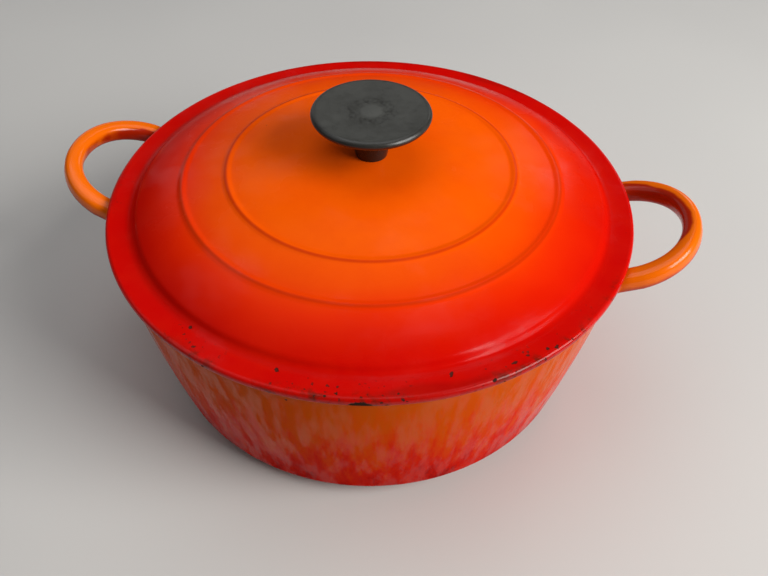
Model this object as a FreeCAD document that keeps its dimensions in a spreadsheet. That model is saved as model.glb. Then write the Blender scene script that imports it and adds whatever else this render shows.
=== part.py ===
"""Round enamelled cast iron dutch oven, 24 cm size, in millimetres.

The frame stands on the base: origin at the centre of the base, +Z up, and +X through one handle.
The pot is one casting, with both loop handles cast on.  The lid is a second casting, which rests on
the pot's rim and is centred by a lip inside it.  A moulded knob with a threaded brass insert sits on
the lid, and a screw with two washers holds it from below.
"""

import FreeCAD
import Part
import math
import os

import Sketcher

doc = FreeCAD.newDocument("DutchOven")
X_AXIS = FreeCAD.Vector(1, 0, 0)
Z_AXIS = FreeCAD.Vector(0, 0, 1)
ON_THE_FLAT = FreeCAD.Placement()
FULL_TURN = 360.0
HALF_TURN = 180.0
NEAR_ZERO = 1e-9
SMALLEST_CUT = 0.5  # mm3
ON_THE_CREST = 0.1  # mm

# ---------------------------------------------------------------- driving dimensions

DIMENSIONS = {
    # Pot: heights are above the base, and radii from the vertical axis.
    "seat_height": 95.5,
    "pot_rim_radius": 123.5,
    "pot_mouth_radius": 118.5,
    "pot_foot_radius": 99.0,
    "pot_heel_radius": 112.2,
    "pot_heel_height": 10.0,
    "wall_bulge_radius": 900.0,
    "heel_round": 16.0,
    "floor_radius": 92.0,
    "floor_height": 4.6,
    "floor_corner_radius": 108.6,
    "floor_corner_height": 19.0,
    "floor_corner_round": 19.0,
    "pot_rim_round": 1.0,
    "base_recess_radius": 93.0,
    "base_recess_depth": 0.6,
    # Handle loops: a half ring that runs into the wall on two legs, and rises towards its tip.
    "loop_centre": 121.5,
    "loop_mean_radius": 32.2,
    "loop_half_width": 4.4,
    "loop_half_depth": 4.7,
    "loop_corner": 3.4,
    "loop_height": 90.2,
    "loop_tilt": 21.0,
    "leg_length": 10.0,
    "root_fillet": 5.0,
    # Lid
    "lid_radius": 126.0,
    "lid_edge_height": 99.6,
    "flange_radius": 115.8,
    "flange_height": 99.0,
    "shoulder_radius": 112.0,
    "shoulder_height": 102.0,
    "step_round": 4.2,
    "shoulder_round": 73.0,
    "crown_foot_radius": 89.0,
    "crown_foot_height": 111.0,
    "crown_round": 444.0,
    "crown_height": 120.0,
    "pad_radius": 8.5,
    "under_pad_radius": 11.0,
    "under_pad_height": 115.4,
    "under_crown_radius": 88.0,
    "under_crown_height": 106.6,
    "under_crown_round": 440.0,
    "under_shoulder_radius": 109.5,
    "under_shoulder_height": 98.4,
    "under_shoulder_round": 69.0,
    "lip_outer_radius": 117.2,
    "lip_inner_radius": 112.6,
    "lip_height": 91.2,
    "lip_round": 1.2,
    "lid_edge_round": 1.7,
    "outer_ring_radius": 89.0,
    "inner_ring_radius": 68.0,
    "ring_bead_round": 2.6,
    "ring_bead_rise": 0.9,
    "ring_bead_blend": 2.0,
    "screw_hole_radius": 3.4,
    # Knob
    "knob_foot_radius": 7.6,
    "knob_neck_radius": 8.2,
    "knob_neck_height": 124.0,
    "knob_neck_round": 22.0,
    "knob_flare_radius": 11.0,
    "knob_flare_height": 134.6,
    "knob_flare_round": 21.0,
    "knob_under_radius": 25.4,
    "knob_under_height": 139.4,
    "knob_disc_radius": 27.4,
    "knob_edge_height": 141.7,
    "knob_edge_round": 2.6,
    "knob_brow_radius": 25.2,
    "knob_brow_round": 2.4,
    "knob_top_height": 143.4,
    "knob_dish_round": 180.0,
    "knob_dish_height": 142.6,
    "knob_pip_radius": 5.4,
    "knob_pip_bevel": 0.6,
    "knob_pip_height": 142.9,
    # Insert moulded into the knob
    "insert_radius": 4.8,
    "insert_groove_radius": 4.2,
    "insert_foot_height": 120.4,
    "insert_groove_low": 124.6,
    "insert_groove_high": 127.4,
    "insert_top_height": 133.4,
    "insert_bore_radius": 3.05,
    "insert_bore_top": 132.0,
    # Screw and washers under the lid
    "screw_radius": 3.0,
    "screw_tip_height": 130.6,
    "screw_tip_bevel": 0.6,
    "screw_head_radius": 5.8,
    "screw_head_top": 113.0,
    "screw_head_foot": 109.8,
    "screw_slot_half_width": 0.65,
    "screw_slot_depth": 1.6,
    "screw_head_round": 1.2,
    "washer_radius": 8.0,
    "washer_foot_height": 114.4,
    "lock_washer_radius": 5.5,
    "washer_hole_radius": 3.2,
    "lock_washer_half_gap": 0.5,
}

sheet = doc.addObject("Spreadsheet::Sheet", "Dimensions")
for row, (alias, number) in enumerate(DIMENSIONS.items(), start=1):
    sheet.set(f"A{row}", alias)
    sheet.set(f"B{row}", str(number))
    sheet.setAlias(f"B{row}", alias)
doc.recompute()


# ---------------------------------------------------------------- sums of named dimensions


def value_of(words):
    """The number that a sum such as 'loop_width + 2.5' stands for."""
    total = 0.0
    sign = 1
    for word in words.split():
        if word in "+-":
            sign = 1 if word == "+" else -1
        else:
            number = sheet.get(word) if word in DIMENSIONS else float(word)
            total += sign * number
    return total


def cells(words):
    """The same sum as an expression on the spreadsheet's cells."""
    return " ".join(f"Dimensions.{w}" if w in DIMENSIONS else w for w in words.split())


# ---------------------------------------------------------------- sketch and feature helpers


def new_body(label):
    body = doc.addObject("PartDesign::Body", label)
    body.Label = label
    return body


def new_sketch(body, name, plane, offset=ON_THE_FLAT):
    """A sketch on one of the body's own origin planes."""
    sketch = body.newObject("Sketcher::SketchObject", name)
    support = [f for f in body.Origin.OriginFeatures if f.Role == plane][0]
    sketch.AttachmentSupport = [(support, "")]
    sketch.MapMode = "FlatFace"
    sketch.AttachmentOffset = offset
    return sketch


def drive(sketch, constraint, words):
    """Binds a sketch constraint to the spreadsheet."""
    sketch.setExpression(f"Constraints[{constraint}]", cells(words))


def pin_point(sketch, geometry, end, across, up):
    """Holds one end of a sketch edge at a place given by two sums."""
    for kind, words in (("DistanceX", across), ("DistanceY", up)):
        place = value_of(words)
        if abs(place) < NEAR_ZERO:
            axis = -2 if kind == "DistanceX" else -1
            sketch.addConstraint(Sketcher.Constraint("PointOnObject", geometry, end, axis))
        else:
            number = sketch.addConstraint(Sketcher.Constraint(kind, -1, 1, geometry, end, place))
            drive(sketch, number, words)


def arc_between(start, end, radius):
    """An arc of that radius, always drawn anticlockwise: a positive radius bulges to the left of the way
    from start to end, so its arc is drawn from end to start."""
    middle = (start + end) * 0.5
    chord = end - start
    left = FreeCAD.Vector(-chord.y, chord.x, 0).normalize()
    reach = abs(radius)
    depth = reach - math.sqrt(reach**2 - (chord.Length / 2) ** 2)
    if radius > 0:
        return Part.Arc(end, middle + left * depth, start)
    return Part.Arc(start, middle - left * depth, end)


def add_outline(sketch, points):
    """Draws a closed outline.  Each point is (across, up) or (across, up, radius): with a radius, the edge
    that leaves it is an arc, which bulges to the left of its way if the radius has no minus in front."""
    places = [FreeCAD.Vector(value_of(p[0]), value_of(p[1]), 0) for p in points]
    ends = []
    for i, point in enumerate(points):
        start = places[i]
        end = places[(i + 1) % len(points)]
        if len(point) == 2:
            edge = sketch.addGeometry(Part.LineSegment(start, end))
            ends.append((edge, 1, 2))
            continue
        words = point[2].lstrip("-")
        side = -1 if point[2].startswith("-") else 1
        arc = arc_between(start, end, side * value_of(words))
        edge = sketch.addGeometry(arc)
        drawn = sketch.Geometry[edge]
        forward = (drawn.StartPoint - start).Length < (drawn.EndPoint - start).Length
        ends.append((edge, 1, 2) if forward else (edge, 2, 1))
        number = sketch.addConstraint(Sketcher.Constraint("Radius", edge, value_of(words)))
        drive(sketch, number, words)
    for i, point in enumerate(points):
        edge, first, last = ends[i]
        following, next_first, next_last = ends[(i + 1) % len(points)]
        sketch.addConstraint(Sketcher.Constraint("Coincident", edge, last, following, next_first))
        pin_point(sketch, edge, first, point[0], point[1])


def add_circle(sketch, across, up, radius):
    centre = FreeCAD.Vector(value_of(across), value_of(up), 0)
    edge = sketch.addGeometry(Part.Circle(centre, Z_AXIS, value_of(radius)))
    number = sketch.addConstraint(Sketcher.Constraint("Radius", edge, value_of(radius)))
    drive(sketch, number, radius)
    pin_point(sketch, edge, 3, across, up)
    return edge


def turn(body, name, kind, sketch, degrees=FULL_TURN, midplane=False):
    """A Revolution or Groove about the sketch's own vertical axis."""
    feature = body.newObject(f"PartDesign::{kind}", name)
    feature.Profile = sketch
    feature.ReferenceAxis = (sketch, ["V_Axis"])
    feature.Angle = degrees
    feature.Midplane = midplane
    body.Tip = feature
    doc.recompute()
    return feature


def turned_body(label, points):
    """A body turned from one outline in the XZ plane."""
    body = new_body(label)
    sketch = new_sketch(body, f"{label}_outline", "XZ_Plane")
    add_outline(sketch, points)
    turn(body, f"{label}_turned", "Revolution", sketch)
    return body


def groove(body, name, points):
    """Turns an outline out of the body."""
    before = body.Tip.Shape.Volume
    sketch = new_sketch(body, f"{name}_outline", "XZ_Plane")
    add_outline(sketch, points)
    turn(body, name, "Groove", sketch)
    must_cut(body, name, before)


def slot(body, name, level, corners, depth):
    """Cuts a rectangle upwards from a level.  Its two opposite corners are given as sums of dimensions."""
    before = body.Tip.Shape.Volume
    sketch = new_sketch(body, f"{name}_outline", "XY_Plane")
    sketch.setExpression("AttachmentOffset.Base.z", cells(level))
    (left, front), (right, back) = corners
    add_outline(sketch, [(left, front), (right, front), (right, back), (left, back)])
    pocket = body.newObject("PartDesign::Pocket", name)
    pocket.Profile = sketch
    pocket.setExpression("Length", cells(depth))
    pocket.Reversed = True
    body.Tip = pocket
    doc.recompute()
    must_cut(body, name, before)


def must_cut(body, name, before):
    """Stops the build if the last feature left the body as big as it was before."""
    if body.Tip.Shape.Volume > before - SMALLEST_CUT:
        raise RuntimeError(f"{name} cut nothing")


def fillet(body, name, edges, radius):
    if not edges:
        raise RuntimeError(f"{name} found no edge")
    base = body.Tip
    feature = body.newObject("PartDesign::Fillet", name)
    feature.Base = (base, edges)
    feature.setExpression("Radius", cells(radius))
    body.Tip = feature
    doc.recompute()


# ---------------------------------------------------------------- pot

BAND_CORNERS = (
    ("- loop_half_width + loop_corner", "- loop_half_depth"),
    ("+ loop_half_width - loop_corner", "- loop_half_depth", "-loop_corner"),
    ("+ loop_half_width", "- loop_half_depth + loop_corner"),
    ("+ loop_half_width", "loop_half_depth - loop_corner", "-loop_corner"),
    ("+ loop_half_width - loop_corner", "loop_half_depth"),
    ("- loop_half_width + loop_corner", "loop_half_depth", "-loop_corner"),
    ("- loop_half_width", "loop_half_depth - loop_corner"),
    ("- loop_half_width", "- loop_half_depth + loop_corner", "-loop_corner"),
)


def add_band_section(sketch, middle):
    """The handle band's cross-section, a rectangle with round corners, centred at middle."""
    add_outline(sketch, [(f"{middle} {across}", *rest) for across, *rest in BAND_CORNERS])


def add_handle_loops(body):
    """Both loop handles: a half ring and two legs in a tilted frame, then the same half a turn round."""
    ring_sketch = new_sketch(body, "loop_section", "XZ_Plane")
    ring_sketch.setExpression("AttachmentOffset.Base.x", cells("loop_centre"))
    ring_sketch.setExpression("AttachmentOffset.Base.y", cells("loop_height"))
    ring_sketch.setExpression("AttachmentOffset.Rotation.Angle", cells("loop_tilt"))
    add_band_section(ring_sketch, "loop_mean_radius")
    ring = turn(body, "loop_half_ring", "Revolution", ring_sketch, HALF_TURN, True)

    # The legs start on the ring's cross plane, which leans back by the loop's tilt.
    lean = FreeCAD.Placement(FreeCAD.Vector(), FreeCAD.Rotation(X_AXIS, 1.0))
    leg_sketch = new_sketch(body, "leg_sections", "YZ_Plane", lean)
    leg_sketch.setExpression("AttachmentOffset.Base.y", cells("loop_height"))
    leg_sketch.setExpression("AttachmentOffset.Base.z", cells("loop_centre"))
    leg_sketch.setExpression("AttachmentOffset.Rotation.Angle", cells("- loop_tilt"))
    add_band_section(leg_sketch, "loop_mean_radius")
    add_band_section(leg_sketch, "- loop_mean_radius")
    legs = body.newObject("PartDesign::Pad", "loop_legs")
    legs.Profile = leg_sketch
    legs.setExpression("Length", cells("leg_length"))
    legs.Reversed = True
    body.Tip = legs
    doc.recompute()

    pattern = body.newObject("PartDesign::PolarPattern", "both_handles")
    pattern.Originals = [ring, legs]
    upright = [f for f in body.Origin.OriginFeatures if f.Role == "Z_Axis"][0]
    pattern.Axis = (upright, [""])
    pattern.Angle = FULL_TURN
    pattern.Occurrences = 2
    body.Tip = pattern
    doc.recompute()


def root_edges(feature):
    """Names of the edges where the handles' legs run into the pot's wall, which is the largest face."""
    wall = max(feature.Shape.Faces, key=lambda face: face.Area)
    openings = [wire for wire in wall.Wires if wire.BoundBox.DiagonalLength < 2 * value_of("loop_mean_radius")]
    joins = [edge for wire in openings for edge in wire.Edges]
    return [f"Edge{i}" for i, edge in enumerate(feature.Shape.Edges, start=1) if any(edge.isSame(j) for j in joins)]


def make_pot():
    body = turned_body(
        "pot",
        [
            ("0", "0"),
            ("pot_foot_radius", "0", "-heel_round"),
            ("pot_heel_radius", "pot_heel_height", "-wall_bulge_radius"),
            ("pot_rim_radius", "seat_height - pot_rim_round", "-pot_rim_round"),
            ("pot_rim_radius - pot_rim_round", "seat_height"),
            ("0", "seat_height"),
        ],
    )
    add_handle_loops(body)
    fillet(body, "handle_roots", root_edges(body.Tip), "root_fillet")
    groove(
        body,
        "cavity",
        [
            ("0", "floor_height"),
            ("floor_radius", "floor_height", "-floor_corner_round"),
            ("floor_corner_radius", "floor_corner_height", "-wall_bulge_radius"),
            ("pot_mouth_radius", "seat_height - pot_rim_round", "pot_rim_round"),
            ("pot_mouth_radius + pot_rim_round", "seat_height"),
            ("pot_mouth_radius + pot_rim_round", "crown_height"),
            ("0", "crown_height"),
        ],
    )
    groove(
        body,
        "base_recess",
        [
            ("0", "0"),
            ("base_recess_radius", "0"),
            ("base_recess_radius - base_recess_depth", "base_recess_depth"),
            ("0", "base_recess_depth"),
        ],
    )
    return body


# ---------------------------------------------------------------- lid


def crown_height_at(radius):
    """Expression for the crown's height at a named radius."""
    crown = "Dimensions.crown_round"
    away = f"Dimensions.{radius}"
    return f"Dimensions.crown_height - {crown} + sqrt({crown} ^ 2 - {away} ^ 2)"


def add_rings(body, radii):
    """Raised rings on the lid: the tops of tori whose centre lines lie just under the crown."""
    sketch = new_sketch(body, "ring_sections", "XZ_Plane")
    sink = "Dimensions.ring_bead_rise - Dimensions.ring_bead_round"
    for radius in radii:
        circle = add_circle(sketch, radius, "crown_height", "ring_bead_round")
        heights = [i for i, c in enumerate(sketch.Constraints) if c.Type == "DistanceY" and c.Second == circle]
        sketch.setExpression(f"Constraints[{heights[0]}]", f"{crown_height_at(radius)} + {sink}")
    turn(body, "rings", "Revolution", sketch)
    fillet(body, "ring_blends", ring_edges(body.Tip, [value_of(radius) for radius in radii]), "ring_bead_blend")


def ring_edges(feature, radii):
    """Names of the round edges where the raised rings meet the crown."""
    lowest = value_of("under_crown_height + ring_bead_rise")
    found = []
    for i, edge in enumerate(feature.Shape.Edges, start=1):
        start = edge.Vertexes[0].Point
        away = math.hypot(start.x, start.y)
        beside = any(ON_THE_CREST < abs(away - radius) < value_of("ring_bead_round") for radius in radii)
        if beside and edge.isClosed() and start.z > lowest:
            found.append(f"Edge{i}")
    return found


def make_lid():
    body = turned_body(
        "lid",
        [
            ("screw_hole_radius", "crown_height"),
            ("pad_radius", "crown_height", "crown_round"),
            ("crown_foot_radius", "crown_foot_height", "shoulder_round"),
            ("shoulder_radius", "shoulder_height", "-step_round"),
            ("flange_radius", "flange_height"),
            ("lid_radius - lid_edge_round", "lid_edge_height", "lid_edge_round"),
            ("lid_radius", "lid_edge_height - lid_edge_round"),
            ("lid_radius", "seat_height + lid_edge_round", "lid_edge_round"),
            ("lid_radius - lid_edge_round", "seat_height"),
            ("lip_outer_radius", "seat_height"),
            ("lip_outer_radius", "lip_height + lip_round", "lip_round"),
            ("lip_outer_radius - lip_round", "lip_height"),
            ("lip_inner_radius + lip_round", "lip_height", "lip_round"),
            ("lip_inner_radius", "lip_height + lip_round"),
            ("under_shoulder_radius", "under_shoulder_height", "-under_shoulder_round"),
            ("under_crown_radius", "under_crown_height", "-under_crown_round"),
            ("under_pad_radius", "under_pad_height"),
            ("screw_hole_radius", "under_pad_height"),
        ],
    )
    add_rings(body, ["outer_ring_radius", "inner_ring_radius"])
    return body


# ---------------------------------------------------------------- knob and its fixing

INSERT_OUTSIDE = (
    ("insert_radius", "insert_groove_low"),
    ("insert_groove_radius", "insert_groove_low"),
    ("insert_groove_radius", "insert_groove_high"),
    ("insert_radius", "insert_groove_high"),
    ("insert_radius", "insert_top_height"),
    ("0", "insert_top_height"),
)


def make_knob():
    """A mushroom with a dished top, moulded round the insert's grooved outside."""
    outside = [
        ("knob_foot_radius", "crown_height"),
        ("knob_neck_radius", "knob_neck_height", "knob_neck_round"),
        ("knob_flare_radius", "knob_flare_height", "knob_flare_round"),
        ("knob_under_radius", "knob_under_height", "-knob_edge_round"),
        ("knob_disc_radius", "knob_edge_height", "-knob_brow_round"),
        ("knob_brow_radius", "knob_top_height", "knob_dish_round"),
        ("knob_pip_radius", "knob_dish_height"),
        ("knob_pip_radius - knob_pip_bevel", "knob_pip_height"),
        ("0", "knob_pip_height"),
    ]
    around_insert = list(reversed(INSERT_OUTSIDE))
    return turned_body("knob", outside + around_insert + [("insert_radius", "crown_height")])


def make_knob_insert():
    """A brass nut, blind at the top, with a groove that locks it into the moulding."""
    foot = [("insert_bore_radius", "insert_foot_height"), ("insert_radius", "insert_foot_height")]
    bore = [("0", "insert_bore_top"), ("insert_bore_radius", "insert_bore_top")]
    return turned_body("knob_insert", foot + list(INSERT_OUTSIDE) + bore)


def make_knob_screw():
    """A cheese-head screw, head down, with a slot across the head."""
    body = turned_body(
        "knob_screw",
        [
            ("0", "screw_head_foot"),
            ("screw_head_radius - screw_head_round", "screw_head_foot", "-screw_head_round"),
            ("screw_head_radius", "screw_head_foot + screw_head_round"),
            ("screw_head_radius", "screw_head_top"),
            ("screw_radius", "screw_head_top"),
            ("screw_radius", "screw_tip_height - screw_tip_bevel"),
            ("screw_radius - screw_tip_bevel", "screw_tip_height"),
            ("0", "screw_tip_height"),
        ],
    )
    corners = (("- washer_radius", "- screw_slot_half_width"), ("washer_radius", "screw_slot_half_width"))
    slot(body, "driver_slot", "screw_head_foot", corners, "screw_slot_depth")
    return body


def make_washer(label, radius, foot, top):
    return turned_body(
        label,
        [("washer_hole_radius", foot), (radius, foot), (radius, top), ("washer_hole_radius", top)],
    )


def make_lock_washer():
    """A spring washer, pressed flat, with its cut on the +X side."""
    body = make_washer("lock_washer", "lock_washer_radius", "screw_head_top", "washer_foot_height")
    corners = (("0", "- lock_washer_half_gap"), ("washer_radius", "lock_washer_half_gap"))
    slot(body, "lock_washer_cut", "screw_head_top", corners, "washer_foot_height - screw_head_top")
    return body


# ---------------------------------------------------------------- build, check and write

subparts = [
    make_pot(),
    make_lid(),
    make_knob(),
    make_knob_insert(),
    make_knob_screw(),
    make_lock_washer(),
    make_washer("flat_washer", "washer_radius", "washer_foot_height", "under_pad_height"),
]

for item in doc.Objects:
    if "Invalid" in item.State or "Error" in item.State:
        raise RuntimeError(f"{item.Label} did not build: {item.State}")
for body in subparts:
    if body.Shape.isNull() or not body.Shape.isValid() or len(body.Shape.Solids) != 1:
        raise RuntimeError(f"{body.Label} is not one valid solid")

os.makedirs("parts", exist_ok=True)
for body in subparts:
    body.Shape.exportStep(f"parts/{body.Label}.step")
    print(f"{body.Label}: {body.Shape.Volume:.0f} mm3")
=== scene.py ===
import math

import bpy
from mathutils import Matrix, Vector


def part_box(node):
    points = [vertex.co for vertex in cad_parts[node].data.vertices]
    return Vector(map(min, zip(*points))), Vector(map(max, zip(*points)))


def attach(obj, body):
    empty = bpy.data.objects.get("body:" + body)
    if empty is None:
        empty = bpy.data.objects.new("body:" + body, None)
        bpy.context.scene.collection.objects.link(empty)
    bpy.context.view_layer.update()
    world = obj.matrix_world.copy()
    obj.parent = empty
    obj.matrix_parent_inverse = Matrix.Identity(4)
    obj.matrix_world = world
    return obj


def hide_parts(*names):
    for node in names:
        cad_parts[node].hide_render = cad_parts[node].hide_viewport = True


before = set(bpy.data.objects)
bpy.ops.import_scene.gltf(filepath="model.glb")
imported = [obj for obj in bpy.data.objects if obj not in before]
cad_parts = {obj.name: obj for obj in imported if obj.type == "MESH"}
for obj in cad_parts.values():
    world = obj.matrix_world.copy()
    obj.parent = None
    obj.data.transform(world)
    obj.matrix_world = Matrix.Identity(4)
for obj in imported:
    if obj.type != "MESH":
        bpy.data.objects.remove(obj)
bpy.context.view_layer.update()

# The round dutch oven's looks, in metres, in the CAD frame: +Z up, base at zero, handles along X.

MM = 0.001
ROUNDING = 1e-7
_, POT_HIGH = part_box("pot")
LID_LOW, LID_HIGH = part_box("lid")
KNOB_LOW, KNOB_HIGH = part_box("knob")
_, INSERT_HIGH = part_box("knob_insert")
SCREW_LOW, SCREW_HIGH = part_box("knob_screw")
LOCK_LOW, LOCK_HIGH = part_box("lock_washer")
FLAT_LOW, FLAT_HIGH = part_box("flat_washer")

LID_RADIUS = LID_HIGH.y
POT_RIM_RADIUS = POT_HIGH.y
CROWN_TOP = LID_HIGH.z
LIP_DEPTH = 4.3 * MM
SEAT = LID_LOW.z + LIP_DEPTH
SHOULDER = LID_RADIUS - 14.0 * MM
RING_RADII = (89.0 * MM, 68.0 * MM)
HANDLE_TILT = math.radians(21.0)
HANDLE_ROOT = Vector((121.5 * MM, 0, 90.2 * MM))
LOOP_REACH = 32.2 * MM


# ---------------------------------------------------------------- outlines and lathe


def arc(start, end, radius, steps):
    """Points after start up to end on an arc that bulges to the left of the way, or to the right of it if
    radius is negative."""
    start, end = Vector(start), Vector(end)
    chord = end - start
    left = Vector((-chord.y, chord.x)).normalized()
    reach = abs(radius)
    depth = math.sqrt(max(reach**2 - (chord.length / 2) ** 2, 0.0))
    centre = (start + end) / 2 - left * math.copysign(depth, radius)
    first = math.atan2(start.y - centre.y, start.x - centre.x)
    last = math.atan2(end.y - centre.y, end.x - centre.x)
    span = (last - first + math.pi) % math.tau - math.pi
    angles = [first + span * i / steps for i in range(1, steps + 1)]
    return [(centre.x + reach * math.cos(a), centre.y + reach * math.sin(a)) for a in angles]


class Outline:
    """A lathe outline: points, and the number of the surface that each span belongs to."""

    def __init__(self, start, surface=0):
        self.points = [tuple(start)]
        self.surfaces = []
        self.surface = surface

    def line(self, *ends, steps=1):
        for end in ends:
            start = Vector(self.points[-1])
            for i in range(1, steps + 1):
                self.points.append(tuple(start.lerp(Vector(end), i / steps)))
                self.surfaces.append(self.surface)
        return self

    def arc(self, end, radius, steps=8):
        for point in arc(self.points[-1], end, radius, steps):
            self.points.append(point)
            self.surfaces.append(self.surface)
        return self

    def paint(self, surface):
        self.surface = surface
        return self

    def soften(self, low, high, rounds):
        """Rounds the corners of the first stretch of points that lies between two radii."""
        for _ in range(rounds):
            before = list(self.points)
            for i in range(1, len(before) - 1):
                if low < before[i][0] < high and self.surfaces[i] == self.surfaces[0]:
                    near = [Vector(before[k]) for k in (i - 1, i, i + 1)]
                    self.points[i] = tuple((near[0] + near[1] * 2 + near[2]) / 4)
        return self


def finish_mesh(name, verts, faces, surfaces, materials, crease=38.0):
    """An object made of a mesh.  surfaces says which material each face has, and an edge whose faces differ
    by more than crease, in degrees, stays sharp."""
    mesh = bpy.data.meshes.new(name)
    mesh.from_pydata([tuple(v) for v in verts], [], faces)
    for material in materials:
        mesh.materials.append(material)
    mesh.polygons.foreach_set("material_index", surfaces)
    mesh.shade_smooth()
    mesh.set_sharp_from_angle(angle=math.radians(crease))
    mesh.update()
    piece = bpy.data.objects.new(name, mesh)
    bpy.context.scene.collection.objects.link(piece)
    return piece


def lathe(name, outline, segments, materials, closed=False, shape=None, sweep=math.tau, crease=38.0):
    """Turns an outline round Z.  shape moves each point once it is made, and a sweep under a full turn gets
    end caps."""
    points = outline.points[:-1] if closed else outline.points
    full = math.tau - sweep < ROUNDING
    columns = segments if full else segments + 1
    verts = []
    rings = []
    for radius, height in points:
        if radius < ROUNDING:
            rings.append([len(verts)] * columns)
            verts.append(Vector((0, 0, height)))
            continue
        rings.append(list(range(len(verts), len(verts) + columns)))
        for i in range(columns):
            turn = sweep * (i / segments) + (math.tau - sweep) / 2
            verts.append(Vector((radius * math.cos(turn), radius * math.sin(turn), height)))
    if shape:
        verts = [shape(v) for v in verts]
    if closed:
        rings.append(rings[0])
    faces = []
    surfaces = []
    for k, surface in enumerate(outline.surfaces):
        near, far = rings[k], rings[k + 1]
        for i in range(segments):
            j = (i + 1) % columns if full else i + 1
            corners = [near[i], near[j], far[j], far[i]]
            face = [c for n, c in enumerate(corners) if c != corners[n - 1]]
            if len(face) > 2:
                faces.append(face)
                surfaces.append(surface)
    if not full:
        faces.append([ring[0] for ring in rings[: len(points)]])
        faces.append([ring[-1] for ring in reversed(rings[: len(points)])])
        surfaces += [outline.surfaces[0]] * 2
    return finish_mesh(name, verts, faces, surfaces, materials, crease)


# ---------------------------------------------------------------- materials


def add_node(tree, kind, inputs=(), **settings):
    """A shader node with its settings and its inputs, which are values or other nodes' outputs."""
    made = tree.nodes.new(kind)
    for key, value in settings.items():
        setattr(made, key, value)
    for key, value in dict(inputs).items():
        if isinstance(value, bpy.types.NodeSocket):
            tree.links.new(value, made.inputs[key])
        else:
            made.inputs[key].default_value = value
    return made


def new_material(name):
    material = bpy.data.materials.new(name)
    material.use_nodes = True
    tree = material.node_tree
    return material, tree, tree.nodes["Principled BSDF"]


def place(tree):
    """The point on the piece, in metres, which stays put when the piece moves."""
    return add_node(tree, "ShaderNodeTexCoord").outputs["Object"]


def mottle(tree, where, scale, detail=3.0, roughness=0.5):
    """Noise from 0 to 1, with scale in patches per metre."""
    made = add_node(
        tree,
        "ShaderNodeTexNoise",
        {"Vector": where, "Scale": scale, "Detail": detail, "Roughness": roughness},
    )
    return made.outputs["Fac"]


def math_node(tree, operation, *values):
    """Arithmetic on single numbers."""
    return add_node(tree, "ShaderNodeMath", enumerate(values), operation=operation).outputs[0]


def times(tree, first, *others):
    """The product of all the values."""
    for other in others:
        first = math_node(tree, "MULTIPLY", first, other)
    return first


def most(tree, first, *others):
    """The largest of the values."""
    for other in others:
        first = math_node(tree, "MAXIMUM", first, other)
    return first


def plus(tree, first, second):
    return math_node(tree, "ADD", first, second)


def minus(tree, first, second):
    return math_node(tree, "SUBTRACT", first, second)


def apart(tree, first, second):
    """How far two values are from each other."""
    return math_node(tree, "ABSOLUTE", minus(tree, first, second))


def vector_node(tree, operation, first, second):
    """Arithmetic on two vectors, part by part."""
    made = add_node(tree, "ShaderNodeVectorMath", {0: first, 1: second}, operation=operation)
    return made.outputs["Vector"]


def length_of(tree, vector):
    return add_node(tree, "ShaderNodeVectorMath", {0: vector}, operation="LENGTH").outputs["Value"]


def parts_of(tree, vector):
    """The X, Y and Z of a vector."""
    return add_node(tree, "ShaderNodeSeparateXYZ", {"Vector": vector}).outputs


def remap(tree, value, low, high, to_low=0.0, to_high=1.0, smooth=True):
    kind = "SMOOTHSTEP" if smooth else "LINEAR"
    inputs = {"Value": value, "From Min": low, "From Max": high, "To Min": to_low, "To Max": to_high}
    return add_node(tree, "ShaderNodeMapRange", inputs, interpolation_type=kind).outputs["Result"]


def ramp(tree, value, stops):
    """A colour ramp: stops are (position, colour)."""
    made = add_node(tree, "ShaderNodeValToRGB", {"Fac": value})
    elements = made.color_ramp.elements
    while len(elements) < len(stops):
        elements.new(0.5)
    for element, (position, colour) in zip(elements, stops):
        element.position = position
        element.color = (*colour, 1.0)
    return made.outputs["Color"]


def mix(tree, amount, first, second):
    """A mix of two colours: sockets 0, 6 and 7 of the node are its share and its colours, and output 2 is the
    mixed colour."""
    made = tree.nodes.new("ShaderNodeMix")
    made.data_type = "RGBA"
    for socket, value in ((made.inputs[0], amount), (made.inputs[6], first), (made.inputs[7], second)):
        if isinstance(value, bpy.types.NodeSocket):
            tree.links.new(value, socket)
        elif isinstance(value, tuple):
            socket.default_value = (*value, 1.0)
        else:
            socket.default_value = value
    return made.outputs[2]


def bump(tree, shader, heights):
    """Chains bumps: heights are (value, height in metres)."""
    normal = None
    for value, height in heights:
        inputs = {"Height": value, "Distance": height, "Strength": 1.0}
        if normal:
            inputs["Normal"] = normal
        normal = add_node(tree, "ShaderNodeBump", inputs).outputs["Normal"]
    tree.links.new(normal, shader.inputs["Normal"])


def from_axis(tree, where):
    """Distance from the pot's vertical axis."""
    return length_of(tree, vector_node(tree, "MULTIPLY", where, (1.0, 1.0, 0.0)))


def height_of(tree, where):
    return parts_of(tree, where)["Z"]


ORANGE = (0.87, 0.098, 0.0006)
VERMILION = (0.66, 0.016, 0.0008)
RED = (0.52, 0.0016, 0.0007)
DARK_RED = (0.40, 0.002, 0.001)
HANDLE_ORANGE = (0.80, 0.135, 0.001)
MAROON = (0.36, 0.014, 0.0015)
# Colour of the lid's ring lines: partly thin glaze on the beads, partly painted shade on their outer slopes.
RING_GLAZE_AND_SHADE_RED = (0.50, 0.024, 0.001)
SOOT = (0.09, 0.010, 0.004)
BURNT = (0.05, 0.012, 0.006)
IRON = (0.030, 0.016, 0.012)
STAIN = (0.42, 0.26, 0.12)
PHENOLIC_BLACK = (0.013, 0.012, 0.010)
PHENOLIC_DUSTY = (0.046, 0.047, 0.041)
PHENOLIC_WORN = (0.060, 0.061, 0.055)
PHENOLIC_SPOT = (0.010, 0.009, 0.008)
GLAZE_IOR = 1.5


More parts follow.
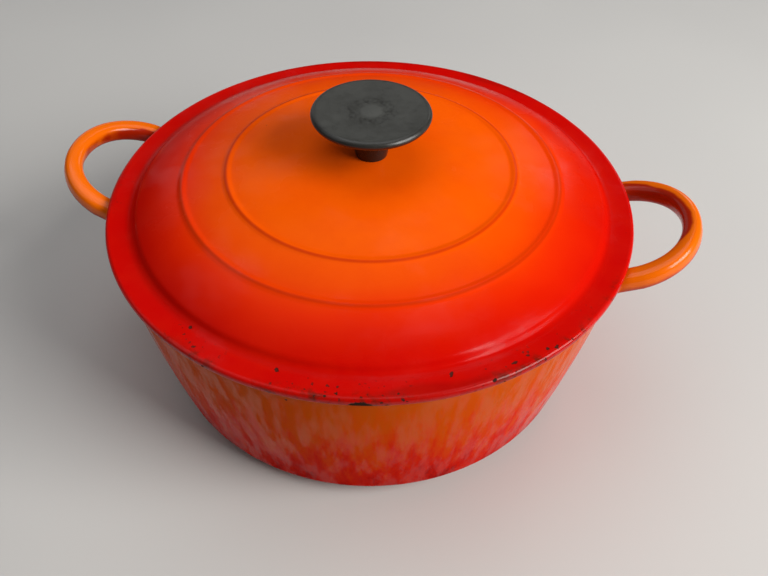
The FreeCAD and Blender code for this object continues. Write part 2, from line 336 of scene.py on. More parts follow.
def glaze(tree, shader, where, colour, gloss, shine):
    """Sets what every fired coat shares, and returns its bumps: slow waves, orange peel and fine grain.
    gloss is the lowest and highest roughness, and shine how strong the reflections are."""
    smear = mottle(tree, where, 34.0, 4.0)
    fine = mottle(tree, where, 900.0, 2.0)
    peel = mottle(tree, where, 210.0, 2.0)
    wave = mottle(tree, where, 32.0, 1.0)
    tree.links.new(colour, shader.inputs["Base Color"])
    tree.links.new(remap(tree, smear, 0.3, 0.75, *gloss), shader.inputs["Roughness"])
    shader.inputs["IOR"].default_value = GLAZE_IOR
    if isinstance(shine, bpy.types.NodeSocket):
        tree.links.new(shine, shader.inputs["Specular IOR Level"])
    else:
        shader.inputs["Specular IOR Level"].default_value = shine
    return [(wave, 0.35 * MM), (peel, 0.03 * MM), (fine, 0.004 * MM)]


def pits(tree, where, per_metre, size, coverage):
    """1 inside small scattered pits with ragged edges, 0 elsewhere."""
    stray = 2.2 * MM
    ragged = add_node(tree, "ShaderNodeTexNoise", {"Vector": where, "Scale": 1100.0, "Detail": 3.0})
    offset = vector_node(tree, "MULTIPLY", ragged.outputs["Color"], (stray, stray, stray))
    bent = vector_node(tree, "ADD", where, offset)
    cells = add_node(tree, "ShaderNodeTexVoronoi", {"Vector": bent, "Scale": per_metre})
    chosen = add_node(tree, "ShaderNodeSeparateColor", {"Color": cells.outputs["Color"]})
    reach = remap(tree, chosen.outputs["Red"], 1.0 - coverage, 1.0, 0.0, size * per_metre, smooth=False)
    return remap(tree, minus(tree, reach, cells.outputs["Distance"]), 0.0, 0.02)


def blob(tree, where, azimuth, radius, height, half_sizes, turned):
    """1 inside a ragged oval mark on the lid, 0 elsewhere.  half_sizes are its half length round the lid, its
    half width outwards and its half height."""
    stray = 1.4 * MM
    a = math.radians(azimuth)
    ragged = add_node(tree, "ShaderNodeTexNoise", {"Vector": where, "Scale": 900.0, "Detail": 3.0})
    centred = vector_node(tree, "SUBTRACT", ragged.outputs["Color"], (0.5, 0.5, 0.5))
    push = vector_node(tree, "MULTIPLY", centred, (stray, stray, stray))
    inputs = {
        "Vector": vector_node(tree, "ADD", where, push),
        "Location": (radius * math.cos(a), radius * math.sin(a), height),
        "Rotation": (0.0, 0.0, a + math.pi / 2 + turned),
        "Scale": half_sizes,
    }
    moved = add_node(tree, "ShaderNodeMapping", inputs, vector_type="TEXTURE")
    return remap(tree, length_of(tree, moved.outputs[0]), 1.1, 0.85)


# The lid's larger chips: azimuth in degrees, how far in from the edge and how far above the seat, half sizes
# round the lid, outwards and upwards, all in mm, then the turn in radians and how strong the mark is.
LARGE_CHIPS = [
    (-81.0, 0.2, 1.5, (4.6, 1.8, 1.5), 0.0, 1.0),
    (-118.0, 10.5, 3.6, (0.9, 0.7, 1.5), 0.0, 0.9),
    (-97.0, 9.0, 3.6, (0.8, 1.1, 1.5), 0.5, 0.9),
    (-64.0, 8.5, 3.6, (0.7, 1.4, 1.5), -0.4, 0.9),
    (-52.0, 4.5, 4.0, (1.5, 0.6, 1.8), 0.0, 0.9),
    (-43.0, 2.0, 3.5, (1.2, 0.6, 1.8), 0.3, 0.9),
]


def edge_wear(tree, where, away):
    """Chips down to the iron along the flange, most of them on the -Y side, and the grime round them."""
    forward = remap(tree, parts_of(tree, where)["Y"], 10 * MM, -100 * MM, 0.0, 1.0)
    near_edge = remap(tree, away, LID_RADIUS - 13 * MM, LID_RADIUS - 3 * MM)
    clustered = remap(tree, mottle(tree, where, 26.0, 2.0), 0.42, 0.56)
    fine = pits(tree, where, 520.0, 0.75 * MM, 0.42)
    coarse = pits(tree, where, 260.0, 0.95 * MM, 0.20)
    chips = times(tree, most(tree, fine, coarse), near_edge, forward, clustered)
    for azimuth, inwards, above, half_sizes, turned, strength in LARGE_CHIPS:
        radius = LID_RADIUS - inwards * MM
        sizes = tuple(half * MM for half in half_sizes)
        chip = blob(tree, where, azimuth, radius, SEAT + above * MM, sizes, turned)
        chips = most(tree, chips, times(tree, chip, strength))
    at_edge = remap(tree, away, LID_RADIUS - 6 * MM, LID_RADIUS - 1 * MM)
    patchy = remap(tree, mottle(tree, where, 190.0, 5.0, 0.7), 0.46, 0.66, 0.0, 0.75)
    return chips, times(tree, at_edge, forward, patchy, clustered)


def flame_lid():
    material, tree, shader = new_material("flame_enamel_lid")
    where = place(tree)
    away = from_axis(tree, where)
    drift = remap(tree, mottle(tree, where, 11.0, 3.0), 0.3, 0.7, -6 * MM, 6 * MM, smooth=False)
    share = math_node(tree, "DIVIDE", plus(tree, away, drift), LID_RADIUS)
    colour = ramp(
        tree,
        share,
        [
            (0.0, ORANGE),
            (0.46, ORANGE),
            (0.62, (0.80, 0.064, 0.0006)),
            (0.70, (0.75, 0.034, 0.0006)),
            (0.745, (0.71, 0.021, 0.0007)),
            (0.80, (0.63, 0.011, 0.0007)),
            (0.86, (0.56, 0.005, 0.0007)),
            (0.92, RED),
            (0.98, RED),
            (1.0, DARK_RED),
        ],
    )
    blotch = remap(tree, mottle(tree, where, 60.0, 5.0, 0.65), 0.35, 0.75, 0.0, 0.14)
    colour = mix(tree, blotch, colour, VERMILION)
    # Partly painted shade: a darker red line just outside each ring's crest stands partly for glaze running
    # thin on the bead and partly for the shade on its outer slope.
    ring_lines_glaze_and_shade = []
    for middle in RING_RADII:
        ring_lines_glaze_and_shade.append(remap(tree, apart(tree, away, middle + 0.5 * MM), 1.2 * MM, 0.1 * MM))
    colour = mix(tree, times(tree, most(tree, *ring_lines_glaze_and_shade), 0.72), colour, RING_GLAZE_AND_SHADE_RED)
    # Painted shade: a soft dark red band in the concave foot of the step down to the flange.
    step_foot_painted_shade = remap(tree, apart(tree, away, SHOULDER + 3.2 * MM), 2.2 * MM, 0.2 * MM)
    colour = mix(tree, times(tree, step_foot_painted_shade, 0.3), colour, DARK_RED)

    chips, soot = edge_wear(tree, where, away)
    colour = mix(tree, soot, colour, SOOT)
    specks = times(tree, pits(tree, where, 90.0, 0.45 * MM, 0.14), 0.8)
    marks = most(tree, chips, specks)
    colour = mix(tree, marks, colour, IRON)
    worn = remap(tree, mottle(tree, where, 24.0, 5.0, 0.62), 0.46, 0.68, 0.02, 0.13)
    at_edge = remap(tree, away, LID_RADIUS - 2.2 * MM, LID_RADIUS - 0.6 * MM, 0.0, 0.14)
    shine = times(tree, plus(tree, worn, at_edge), minus(tree, 1.0, marks))
    heights = glaze(tree, shader, where, colour, (0.16, 0.34), shine)
    bump(tree, shader, heights + [(marks, -0.25 * MM)])
    return material


def handle_colour(tree, where):
    """Orange on the handle's top and maroon where the coat thins out: below it, and on the inner side of the
    loop, where it comes further up on the right-hand handle."""
    lean_out, lean_up = math.cos(HANDLE_TILT), math.sin(HANDLE_TILT)
    parts = parts_of(tree, where)
    # level is the height above the loop's middle plane, and reach the distance from its centre in that plane.
    outwards = minus(tree, math_node(tree, "ABSOLUTE", parts["X"]), HANDLE_ROOT.x)
    rise = minus(tree, parts["Z"], HANDLE_ROOT.z)
    level = minus(tree, times(tree, rise, lean_out), times(tree, outwards, lean_up))
    along = plus(tree, times(tree, outwards, lean_out), times(tree, rise, lean_up))
    in_plane = {"X": most(tree, along, 0.0), "Y": parts["Y"]}
    reach = length_of(tree, add_node(tree, "ShaderNodeCombineXYZ", in_plane).outputs[0])
    wander = remap(tree, mottle(tree, where, 70.0, 3.0), 0.3, 0.7, -0.7 * MM, 0.7 * MM, smooth=False)
    below = remap(tree, plus(tree, level, wander), 0.4 * MM, -3.2 * MM)

    # On the inner side the maroon goes out to limit, which grows along +Y and is further out on the right.
    left_end, right_end = -50 * MM, 50 * MM
    begins = remap(tree, parts["X"], left_end, right_end, 14 * MM, -16 * MM)
    grown = remap(tree, minus(tree, parts["Y"], begins), -8 * MM, 8 * MM)
    widest = remap(tree, parts["X"], left_end, right_end, 2.0 * MM, 4.6 * MM)
    limit = math_node(tree, "MULTIPLY_ADD", grown, widest, LOOP_REACH - 4.7 * MM)
    inside = minus(tree, plus(tree, limit, wander), reach)
    maroon = most(tree, below, remap(tree, inside, -0.9 * MM, 0.6 * MM))
    return mix(tree, maroon, HANDLE_ORANGE, MAROON)


def flame_pot():
    material, tree, shader = new_material("flame_enamel_pot")
    where = place(tree)
    height = height_of(tree, where)
    streaked = vector_node(tree, "MULTIPLY", where, (1.0, 1.0, 0.22))
    streaks = mottle(tree, streaked, 135.0, 6.0, 0.72)
    drift = remap(tree, streaks, 0.34, 0.66, -22 * MM, 22 * MM, smooth=False)
    share = math_node(tree, "DIVIDE", plus(tree, height, drift), SEAT)
    colour = ramp(
        tree,
        share,
        [
            (0.0, (0.36, 0.004, 0.002)),
            (0.14, (0.52, 0.006, 0.001)),
            (0.34, (0.58, 0.012, 0.001)),
            (0.50, (0.60, 0.034, 0.001)),
            (0.74, (0.58, 0.062, 0.0008)),
            (1.0, (0.54, 0.072, 0.0008)),
        ],
    )
    beyond_wall = remap(tree, from_axis(tree, where), POT_RIM_RADIUS - 1 * MM, POT_RIM_RADIUS + 7 * MM)
    colour = mix(tree, beyond_wall, colour, handle_colour(tree, where))
    under = remap(tree, height, 2.5 * MM, 0.3 * MM)
    burnt = times(tree, under, remap(tree, mottle(tree, where, 25.0, 6.0, 0.7), 0.4, 0.7))
    colour = mix(tree, burnt, colour, BURNT)
    marks = pits(tree, where, 120.0, 0.6 * MM, 0.12)
    colour = mix(tree, marks, colour, IRON)
    hazy = remap(tree, mottle(tree, streaked, 170.0, 4.0, 0.6), 0.44, 0.64, 0.004, 0.055)
    hazy = times(tree, hazy, remap(tree, height, 4 * MM, 45 * MM, 0.25, 1.0))
    shine = plus(tree, hazy, times(tree, beyond_wall, 0.24))
    heights = glaze(tree, shader, where, colour, (0.12, 0.22), shine)
    bump(tree, shader, heights + [(marks, -0.2 * MM)])
    return material


def cream_enamel():
    material, tree, shader = new_material("cream_enamel")
    where = place(tree)
    tone = mottle(tree, where, 14.0, 5.0, 0.6)
    colour = ramp(tree, tone, [(0.3, (0.80, 0.71, 0.52)), (0.7, (0.86, 0.79, 0.63))])
    low = remap(tree, height_of(tree, where), 22 * MM, 4 * MM, 0.0, 0.55)
    stain = times(tree, low, remap(tree, mottle(tree, where, 38.0, 6.0, 0.65), 0.42, 0.7))
    colour = mix(tree, stain, colour, STAIN)
    bump(tree, shader, glaze(tree, shader, where, colour, (0.12, 0.3), 0.4))
    return material


def rim_enamel():
    material, tree, shader = new_material("black_rim")
    where = place(tree)
    tone = mottle(tree, where, 160.0, 6.0, 0.7)
    colour = ramp(
        tree,
        tone,
        [
            (0.3, (0.012, 0.011, 0.012)),
            (0.62, (0.03, 0.027, 0.026)),
            (0.8, (0.09, 0.05, 0.03)),
        ],
    )
    tree.links.new(colour, shader.inputs["Base Color"])
    tree.links.new(remap(tree, tone, 0.3, 0.7, 0.42, 0.66), shader.inputs["Roughness"])
    bump(tree, shader, [(mottle(tree, where, 1400.0, 3.0), 0.05 * MM)])
    return material


def phenolic():
    """Black and fairly glossy below, dusty on the dish, with grime round the pip in its middle."""
    material, tree, shader = new_material("phenolic")
    where = place(tree)
    away = from_axis(tree, where)
    top = remap(tree, height_of(tree, where), KNOB_HIGH.z - 3.0 * MM, KNOB_HIGH.z - 0.6 * MM)
    cloud = remap(tree, mottle(tree, where, 60.0, 6.0, 0.6), 0.3, 0.72, 0.62, 0.95)
    on_dish = remap(tree, away, 26.4 * MM, 24.2 * MM, 0.25, 1.0)
    round_pip = remap(tree, apart(tree, away, 8.5 * MM), 5.5 * MM, 0.5 * MM)
    grime = remap(tree, mottle(tree, where, 520.0, 5.0, 0.7), 0.4, 0.66, 0.15, 0.75)
    dusty = times(tree, top, cloud, on_dish, minus(tree, 1.0, times(tree, round_pip, grime)))
    pip = times(tree, remap(tree, away, 5.6 * MM, 4.2 * MM), top)
    colour = mix(tree, dusty, PHENOLIC_BLACK, PHENOLIC_DUSTY)
    colour = mix(tree, times(tree, pip, 0.6), colour, PHENOLIC_WORN)
    spots = times(tree, pits(tree, where, 300.0, 0.5 * MM, 0.12), 0.7)
    colour = mix(tree, spots, colour, PHENOLIC_SPOT)
    tree.links.new(colour, shader.inputs["Base Color"])
    rough = remap(tree, mottle(tree, where, 240.0, 4.0), 0.3, 0.7, 0.24, 0.36)
    tree.links.new(math_node(tree, "MULTIPLY_ADD", dusty, 0.34, rough), shader.inputs["Roughness"])
    grain = mottle(tree, where, 2200.0, 3.0)
    dents = mottle(tree, where, 300.0, 3.0)
    bump(tree, shader, [(grain, 0.02 * MM), (dents, 0.03 * MM)])
    return material


def metal(name, dark, light, rough):
    """Turned metal with patches of tarnish.  rough is its lowest and highest roughness."""
    material, tree, shader = new_material(name)
    where = place(tree)
    stretched = vector_node(tree, "MULTIPLY", where, (1.0, 1.0, 9.0))
    turned = mottle(tree, stretched, 700.0, 3.0)
    tarnish = mottle(tree, where, 240.0, 5.0, 0.7)
    colour = mix(tree, remap(tree, tarnish, 0.35, 0.7), dark, light)
    tree.links.new(colour, shader.inputs["Base Color"])
    shader.inputs["Metallic"].default_value = 1.0
    tree.links.new(remap(tree, turned, 0.3, 0.7, *rough), shader.inputs["Roughness"])
    bump(tree, shader, [(turned, 0.02 * MM)])
    return material


FLAME_LID = flame_lid()
FLAME_POT = flame_pot()
CREAM = cream_enamel()
BLACK_RIM = rim_enamel()
PHENOLIC = phenolic()
BRASS = metal("brass", (0.42, 0.27, 0.10), (0.78, 0.58, 0.28), (0.22, 0.4))
STEEL = metal("plated_steel", (0.30, 0.29, 0.27), (0.62, 0.61, 0.58), (0.25, 0.42))


# ---------------------------------------------------------------- lid

CROWN_BEND = 444 * MM
CROWN_FOOT = 89.0 * MM
CROWN_FOOT_HEIGHT = CROWN_TOP - 9.0 * MM
BROW_BEND = 73 * MM
UNDERSIDE_INSET = 4 * MM
PAD_RADIUS = 8.5 * MM
SHOULDER_HEIGHT = SEAT + 6.5 * MM
STEP_FOOT = SHOULDER + 3.8 * MM
STEP_BEND = 4.2 * MM
FLANGE_TOP = SEAT + 4.1 * MM
FLANGE_ROUND = 1.7 * MM
RING_RISE = 0.62 * MM
RING_REACH = 3.1 * MM
SCREW_HOLE = 3.4 * MM
LIP_OUTER = POT_RIM_RADIUS - 6.3 * MM
LIP_INNER = LID_RADIUS - 13.4 * MM
LIP_ROUND = 1.2 * MM
ROUND_LATHE_STEPS = 384


def ring_rise(radius):
    """How far the soft raised rings stand above the crown at that radius."""
    rise = 0.0
    for middle in RING_RADII:
        away = abs(radius - middle) / RING_REACH
        if away < 1:
            rise += RING_RISE * (0.5 + 0.5 * math.cos(math.pi * away)) ** 1.3
    return rise


def cast_lid():
    outline = Outline((SCREW_HOLE, CROWN_TOP)).line((PAD_RADIUS, CROWN_TOP), steps=3)
    outline.arc((CROWN_FOOT, CROWN_FOOT_HEIGHT), CROWN_BEND, 150)
    outline.arc((SHOULDER, SHOULDER_HEIGHT), BROW_BEND, 60)
    outline.points = [(r, z + ring_rise(r)) for r, z in outline.points]
    outline.arc((STEP_FOOT, SEAT + 3.5 * MM), -STEP_BEND, 14)
    outline.line((LID_RADIUS - FLANGE_ROUND, FLANGE_TOP), steps=20)
    outline.soften(SHOULDER - 4 * MM, SHOULDER + 7 * MM, 14)
    outline.arc((LID_RADIUS, FLANGE_TOP - FLANGE_ROUND), FLANGE_ROUND, 8)
    outline.line((LID_RADIUS, SEAT + FLANGE_ROUND))
    outline.arc((LID_RADIUS - FLANGE_ROUND, SEAT), FLANGE_ROUND, 8)
    outline.paint(1)
    outline.line((LIP_OUTER, SEAT), steps=4)
    outline.line((LIP_OUTER, LID_LOW.z + LIP_ROUND))
    outline.arc((LIP_OUTER - LIP_ROUND, LID_LOW.z), LIP_ROUND, 6)
    outline.paint(2)
    outline.line((LIP_INNER + LIP_ROUND, LID_LOW.z))
    outline.arc((LIP_INNER, LID_LOW.z + LIP_ROUND), LIP_ROUND, 6)
    outline.line((LID_RADIUS - 16.5 * MM, SEAT + 2.9 * MM), steps=3)
    outline.arc((CROWN_FOOT - 1 * MM, SEAT + 11.1 * MM), UNDERSIDE_INSET - BROW_BEND, 24)
    outline.arc((PAD_RADIUS + 2.5 * MM, FLAT_HIGH.z), UNDERSIDE_INSET - CROWN_BEND, 40)
    outline.line((SCREW_HOLE, FLAT_HIGH.z), steps=2)
    outline.line((SCREW_HOLE, CROWN_TOP), steps=3)
    lid = lathe("lid_casting", outline, ROUND_LATHE_STEPS, [FLAME_LID, BLACK_RIM, CREAM], closed=True)
    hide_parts("lid")
    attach(lid, "lid")


# ---------------------------------------------------------------- pot

WALL_BULGE = 900 * MM
HEEL = (POT_RIM_RADIUS - 11.3 * MM, 10 * MM)
HEEL_ROUND = 16 * MM
RIM_ROUND = 1.0 * MM
FOOT_RADIUS = 99 * MM
RECESS_RADIUS = 93 * MM
RECESS_DEPTH = 0.6 * MM
FLOOR_THICKNESS = 4.6 * MM
FLOOR_RADIUS = 92 * MM
INNER_HEEL = (108.6 * MM, 19 * MM)
INNER_HEEL_ROUND = 19 * MM
MOUTH_RADIUS = POT_RIM_RADIUS - 5 * MM
WALL_TOP = (POT_RIM_RADIUS, SEAT - RIM_ROUND)


def bulge_centre(low, high, radius):
    """Centre of the arc from low to high that bulges outwards."""
    low, high = Vector(low), Vector(high)
    chord = high - low
    out = Vector((chord.y, -chord.x)).normalized()
    return (low + high) / 2 - out * math.sqrt(radius**2 - (chord.length / 2) ** 2)


WALL_CENTRE = bulge_centre(HEEL, WALL_TOP, WALL_BULGE)


def wall_radius(height):
    """Radius of the pot's outer wall at a height."""
    return WALL_CENTRE.x + math.sqrt(WALL_BULGE**2 - (height - WALL_CENTRE.y) ** 2)


def cast_pot():
    outline = Outline((0, RECESS_DEPTH)).line((RECESS_RADIUS - RECESS_DEPTH, RECESS_DEPTH), steps=24)
    outline.line((RECESS_RADIUS, 0.1 * MM))
    outline.line((RECESS_RADIUS + 0.3 * MM, 0))
    outline.line((FOOT_RADIUS, 0), steps=3)
    outline.arc(HEEL, -HEEL_ROUND, 18)
    outline.arc(WALL_TOP, -WALL_BULGE, 48)
    outline.paint(1)
    outline.arc((POT_RIM_RADIUS - RIM_ROUND, SEAT), -RIM_ROUND, 6)
    outline.line((MOUTH_RADIUS + RIM_ROUND, SEAT), steps=3)
    outline.arc((MOUTH_RADIUS, SEAT - RIM_ROUND), -RIM_ROUND, 6)
    outline.paint(2)
    outline.arc(INNER_HEEL, WALL_BULGE, 40)
    outline.arc((FLOOR_RADIUS, FLOOR_THICKNESS), INNER_HEEL_ROUND, 18)
    outline.line((0, FLOOR_THICKNESS), steps=24)
    pot = lathe("pot_casting", outline, ROUND_LATHE_STEPS, [FLAME_POT, BLACK_RIM, CREAM])
    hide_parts("pot")
    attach(pot, "pot")


# ---------------------------------------------------------------- handles

LOOP_FULLNESS = 2.1  # 2 would be half a circle, and more is squarer
TIP_HALF_WIDTH = 4.3 * MM
ROOT_HALF_WIDTH = 5.0 * MM
LOOP_HALF_DEPTH = 4.65 * MM
ROOT_FILLET = 5 * MM
SQUARENESS = 2.7  # of the band's section, where 2 would be an ellipse
SECTION_STEPS = 48
FILLET_STEPS = 10
LOOP_STEPS = 80
QUARTER_TURN = math.pi / 2
LOOP_SHARE = 0.86  # of the quarter turn on each side of the tip, and the fillets' rings do the rest
SUNK_IN_WALL = 0.12 * MM
UPPER_FILLET_CUT = 0.8
PROBE_START = 12 * MM  # beyond the roots, where the search for the wall starts
WIDENING = 3  # the higher it is, the closer to the roots the band widens


def signed_power(value, power):
    return math.copysign(abs(value) ** power, value)


def band_section(half_width):
    """The handle band's section, a rectangle with soft corners: (across, up, normal across, normal up)."""
    section = []
    for k in range(SECTION_STEPS):
        turn = math.tau * (k + 0.5) / SECTION_STEPS
        across = signed_power(math.cos(turn), 2 / SQUARENESS)
        up = signed_power(math.sin(turn), 2 / SQUARENESS)
        power = SQUARENESS - 1
        normal = Vector((signed_power(across, power) / half_width, signed_power(up, power) / LOOP_HALF_DEPTH))
        normal.normalize()
        section.append((across * half_width, up * LOOP_HALF_DEPTH, normal.x, normal.y))
    return section


def loop_place(turn):
    """Middle of the band (out, along Y) and its outward normal, at a turn from one root to the other."""
    c, t = math.cos(turn), math.sin(turn)
    place = Vector((signed_power(c, 2 / LOOP_FULLNESS), signed_power(t, 2 / LOOP_FULLNESS)))
    normal = Vector((signed_power(place.x, LOOP_FULLNESS - 1), signed_power(place.y, LOOP_FULLNESS - 1)))
    return place * LOOP_REACH, normal.normalized()


def reach_to_wall(point, way):
    """How far it is from a point outside the pot's wall to the wall, one way, found by halving."""
    low, high = 0.0, 25 * MM
    for _ in range(40):
        middle = (low + high) / 2
        p = point + way * middle
        if math.hypot(p.x, p.y) > wall_radius(p.z):
            low = middle
        else:
            high = middle
    return low


def cast_handle(side):
    """One loop handle, from root to root, with fillets that run out on the pot's wall.  They are smaller on
    top, where the rim is close, and end just inside the wall."""
    out = Vector((side * math.cos(HANDLE_TILT), 0, math.sin(HANDLE_TILT)))
    up = Vector((-side * math.sin(HANDLE_TILT), 0, math.cos(HANDLE_TILT)))
    centre = Vector((side * HANDLE_ROOT.x, 0, HANDLE_ROOT.z))
    far = Vector((0, 1, 0))
    root_section = band_section(ROOT_HALF_WIDTH)

    def leg_ring(along, turn):
        """A ring in the root fillet: turn goes from 0 at its start to a quarter turn at the wall."""
        ring = []
        for across, rise, normal_across, normal_up in root_section:
            fillet = ROOT_FILLET * (1 - UPPER_FILLET_CUT * max(0.0, normal_up))
            flare = fillet * (1 - math.cos(turn))
            gap = fillet * (1 - math.sin(turn)) - SUNK_IN_WALL
            start = centre + along * (LOOP_REACH + across + normal_across * flare)
            start += up * (rise + normal_up * flare) + out * PROBE_START
            ring.append(start - out * (reach_to_wall(start, -out) - gap))
        return ring

    def loop_ring(turn):
        """A ring of the loop itself, where the band is narrowest at the tip."""
        (outwards, sideways), normal = loop_place(turn)
        width = TIP_HALF_WIDTH + (ROOT_HALF_WIDTH - TIP_HALF_WIDTH) * abs(math.sin(turn)) ** WIDENING
        middle = centre + out * outwards + far * sideways
        along = out * normal.x + far * normal.y
        return [middle + along * a + up * u for a, u, _, _ in band_section(width)]

    start_turn = QUARTER_TURN * LOOP_SHARE
    fillet_turns = [QUARTER_TURN * i / FILLET_STEPS for i in range(FILLET_STEPS + 1)]
    rings = [leg_ring(-far, turn) for turn in reversed(fillet_turns)]
    rings += [loop_ring(start_turn * (2 * i / LOOP_STEPS - 1)) for i in range(LOOP_STEPS + 1)]
    rings += [leg_ring(far, turn) for turn in fillet_turns]

    verts = [p for ring in rings for p in ring]
    faces = []
    for r in range(len(rings) - 1):
        for k in range(SECTION_STEPS):
            following = (k + 1) % SECTION_STEPS
            a, b = r * SECTION_STEPS + k, r * SECTION_STEPS + following
            face = [a, a + SECTION_STEPS, b + SECTION_STEPS, b]
            faces.append(face if side > 0 else face[::-1])
    name = "handle_right" if side > 0 else "handle_left"
    handle = finish_mesh(name, verts, faces, [0] * len(faces), [FLAME_POT], crease=60.0)
    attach(handle, "pot")


# ---------------------------------------------------------------- knob

STEM_FOOT = 7.6 * MM
STEM_FOOT_ROUND = 0.3 * MM
STEM_TOP = 8.2 * MM
CLEAR_OF_LID = 0.02 * MM
DISH_DEPTH = 0.9 * MM
DISH_LEVEL = 20 * MM
PIP_RADIUS = 6.6 * MM
PIP_RISE = 0.42 * MM


def pip_rise(radius, height):
    """How far the soft pip in the middle of the knob's dish stands up, at a radius and a height above the
    knob's foot."""
    if radius > PIP_RADIUS or height < DISH_LEVEL:
        return 0.0
    return PIP_RISE * (0.5 + 0.5 * math.cos(math.pi * radius / PIP_RADIUS)) ** 0.7


def mould_knob():
    radius = KNOB_HIGH.x
    foot = KNOB_LOW.z + CLEAR_OF_LID
    top = KNOB_HIGH.z
    hole = INSERT_HIGH.x
    outline = Outline((hole, foot)).line((STEM_FOOT - STEM_FOOT_ROUND, foot))
    outline.arc((STEM_FOOT, foot + STEM_FOOT_ROUND), -STEM_FOOT_ROUND, 4)
    outline.line((STEM_TOP, foot + 4 * MM), steps=6)
    outline.arc((11 * MM, top - 8.8 * MM), 22 * MM, 16)
    outline.arc((25.4 * MM, top - 4.0 * MM), 21 * MM, 24)
    outline.soften(STEM_TOP - 0.1 * MM, 22 * MM, 30)
    outline.arc((radius, top - 1.8 * MM), -2.5 * MM, 12)
    outline.arc((25.2 * MM, top), -2.3 * MM, 12)
    outline.arc((0, top - DISH_DEPTH), 300 * MM, 56)
    outline.points = [(r, z + pip_rise(r, z - foot)) for r, z in outline.points]
    knob = lathe("knob_moulding", outline, 256, [PHENOLIC])
    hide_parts("knob")
    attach(knob, "knob")


# ---------------------------------------------------------------- screw and washers

PITCH = 1.0 * MM
THREAD_DEPTH = 0.5 * MM
THREAD_STEEPNESS = 2.5
CREST_WIDTH = 0.12
THREAD_STARTS = 0.6 * MM
SCREW_HEAD_TOP = LOCK_LOW.z
SCREW_THREAD_CREST = 2.97 * MM
SLOT_HALF_WIDTH = 0.65 * MM
SLOT_DEPTH = 1.6 * MM
WASHER_HOLE = 3.2 * MM
LOCK_GAP = 0.5 * MM


def cut_box(piece, low, high):
    """Cuts a box out of a piece's mesh."""
    corners = [(x, y, z) for x in (low[0], high[0]) for y in (low[1], high[1]) for z in (low[2], high[2])]
    sides = [(0, 1, 3, 2), (4, 6, 7, 5), (0, 4, 5, 1), (2, 3, 7, 6), (0, 2, 6, 4), (1, 5, 7, 3)]
    mesh = bpy.data.meshes.new("cutter")
    mesh.from_pydata(corners, [], sides)
    mesh.materials.append(piece.data.materials[0])
    cutter = bpy.data.objects.new("cutter", mesh)
    bpy.context.scene.collection.objects.link(cutter)
    modifier = piece.modifiers.new("cut", "BOOLEAN")
    modifier.operation = "DIFFERENCE"
    modifier.solver = "EXACT"
    modifier.object = cutter
    bpy.context.view_layer.update()
    shaped = bpy.data.meshes.new_from_object(piece.evaluated_get(bpy.context.evaluated_depsgraph_get()))
    piece.modifiers.clear()
    piece.data = shaped
    shaped.set_sharp_from_angle(angle=math.radians(30.0))
    bpy.data.objects.remove(cutter)


def thread(point):
    """Cuts a right-hand thread into a point of the shank.  Points of the head and below the crest stay."""
    radius = math.hypot(point.x, point.y)
    if radius < SCREW_THREAD_CREST - 0.05 * MM or point.z < SCREW_HEAD_TOP + THREAD_STARTS:
        return point
    phase = ((point.z - SCREW_HEAD_TOP) / PITCH - math.atan2(point.y, point.x) / math.tau) % 1.0
    flank = min(1.0, max(0.0, abs(phase - 0.5) * THREAD_STEEPNESS - CREST_WIDTH))
    fade = min(1.0, (SCREW_HIGH.z - point.z) / PITCH)
    share = (SCREW_THREAD_CREST - THREAD_DEPTH * flank * fade) / radius
    return Vector((point.x * share, point.y * share, point.z))


def make_screw():
    """A cheese-head machine screw, head down, with a driver slot and a rolled thread."""
    reach = SCREW_HIGH.x
    head = reach - 0.02 * MM
    foot = SCREW_LOW.z
    end = SCREW_HIGH.z - 0.01 * MM
    outline = Outline((0, foot)).line((reach - 1.3 * MM, foot), steps=4)
    outline.arc((head, foot + 1.3 * MM), -1.35 * MM, 8)
    outline.line((head, SCREW_HEAD_TOP - 0.15 * MM), steps=2)
    outline.line((reach - 0.2 * MM, SCREW_HEAD_TOP), (SCREW_THREAD_CREST, SCREW_HEAD_TOP))
    outline.line((SCREW_THREAD_CREST, SCREW_HIGH.z - 0.6 * MM), steps=136)
    outline.line((SCREW_THREAD_CREST - 0.6 * MM, end), steps=2)
    outline.line((0, end), steps=2)
    screw = lathe("screw_turned", outline, 40, [STEEL], shape=thread, crease=42.0)
    slot_low = (-2 * reach, -SLOT_HALF_WIDTH, foot - SLOT_DEPTH)
    slot_high = (2 * reach, SLOT_HALF_WIDTH, foot + SLOT_DEPTH)
    cut_box(screw, slot_low, slot_high)
    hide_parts("knob_screw")
    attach(screw, "screw")


def ring_outline(inner, outer, low, high, corner):
    """A washer's section with its corners rounded off."""
    outline = Outline((inner + corner, low)).line((outer - corner, low), steps=3)
    outline.arc((outer, low + corner), -corner, 4).line((outer, high - corner))
    outline.arc((outer - corner, high), -corner, 4).line((inner + corner, high), steps=3)
    outline.arc((inner, high - corner), -corner, 4).line((inner, low + corner))
    return outline.arc((inner + corner, low), -corner, 4)


def make_washers():
    flat_section = ring_outline(WASHER_HOLE, FLAT_HIGH.x, FLAT_LOW.z, FLAT_HIGH.z, 0.18 * MM)
    flat = lathe("flat_washer_pressed", flat_section, 96, [STEEL], closed=True)
    lock_section = ring_outline(WASHER_HOLE, LOCK_HIGH.y, LOCK_LOW.z, LOCK_HIGH.z, 0.15 * MM)
    opening = 2 * math.asin(LOCK_GAP / LOCK_HIGH.y)
    lock = lathe("lock_washer_coil", lock_section, 80, [STEEL], closed=True, sweep=math.tau - opening)
    for piece, node, body in ((flat, "flat_washer", "lid"), (lock, "lock_washer", "screw")):
        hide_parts(node)
        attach(piece, body)


# ---------------------------------------------------------------- floor, light and camera

FLOOR_HALF_SIZE = 4.0
LAMP_DISTANCE = 1.6
LAMP_AIM = Vector((0, 0, 0.08))
WARM_WHITE = (1.0, 0.985, 0.96)
COOL_WHITE = (0.97, 0.98, 1.0)
PLAIN_WHITE = (1.0, 1.0, 1.0)


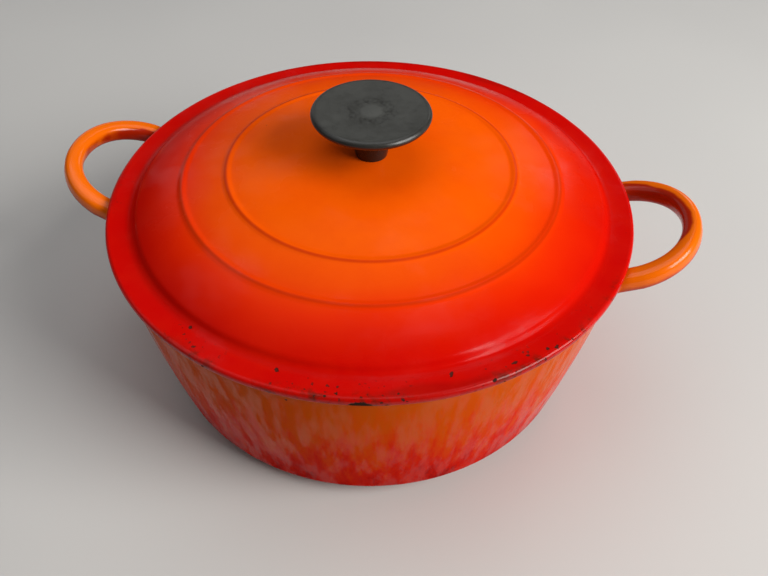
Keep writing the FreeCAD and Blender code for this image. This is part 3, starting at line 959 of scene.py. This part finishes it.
def lay_floor():
    material, tree, shader = new_material("pale_floor")
    tone = mottle(tree, place(tree), 3.0, 2.0)
    colour = ramp(tree, tone, [(0.3, (0.51, 0.50, 0.485)), (0.7, (0.55, 0.54, 0.52))])
    tree.links.new(colour, shader.inputs["Base Color"])
    shader.inputs["Roughness"].default_value = 0.9
    half = FLOOR_HALF_SIZE
    corners = [(-half, -half, 0), (half, -half, 0), (half, half, 0), (-half, half, 0)]
    floor = finish_mesh("floor", corners, [(0, 1, 2, 3)], [0], [material])


def direction(azimuth, elevation):
    """The way out from the pot at an azimuth anticlockwise from +X and an elevation, both in degrees."""
    a, e = math.radians(azimuth), math.radians(elevation)
    return Vector((math.cos(a) * math.cos(e), math.sin(a) * math.cos(e), math.sin(e)))


def soft_light(name, azimuth, elevation, size, power, colour=PLAIN_WHITE):
    """A square soft light that faces the pot."""
    back = direction(azimuth, elevation)
    light = bpy.data.lights.new(name, "AREA")
    light.size = size
    light.energy = power
    light.color = colour
    lamp = bpy.data.objects.new(name, light)
    lamp.location = LAMP_AIM + back * LAMP_DISTANCE
    lamp.rotation_mode = "QUATERNION"
    lamp.rotation_quaternion = back.to_track_quat("Z", "Y")
    bpy.context.scene.collection.objects.link(lamp)


def light_scene():
    world = bpy.data.worlds.new("studio")
    world.use_nodes = True
    background = world.node_tree.nodes["Background"]
    background.inputs["Color"].default_value = (0.95, 0.97, 1.0, 1.0)
    background.inputs["Strength"].default_value = 0.035
    bpy.context.scene.world = world
    bpy.context.scene.view_settings.view_transform = "Standard"
    soft_light("key", -15, 32, 0.9, 34, WARM_WHITE)
    soft_light("fill", 110, 76, 1.4, 9.5, COOL_WHITE)
    soft_light("glint", 70, 24, 0.4, 1.0)
    soft_light("haze", 128, 18, 0.9, 1.2)
    soft_light("left", 195, 48, 1.2, 3.2)


def set_camera():
    aim = Vector((0.0114, -0.0248, 0.0559))
    distance = 0.357
    roll = Matrix.Rotation(0.020, 4, "Z").to_quaternion()
    back = direction(-80.6, 46.2)
    camera = bpy.data.cameras.new("camera")
    camera.lens = 32.8
    camera.clip_start = 0.01
    holder = bpy.data.objects.new("camera", camera)
    holder.location = aim + back * distance
    holder.rotation_mode = "QUATERNION"
    holder.rotation_quaternion = (-back).to_track_quat("-Z", "Y") @ roll
    bpy.context.scene.collection.objects.link(holder)
    bpy.context.scene.camera = holder


cast_lid()
cast_pot()
cast_handle(1)
cast_handle(-1)
mould_knob()
make_screw()
make_washers()
lay_floor()
light_scene()
set_camera()

for material_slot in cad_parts["knob_insert"].material_slots:
    material_slot.material = BRASS
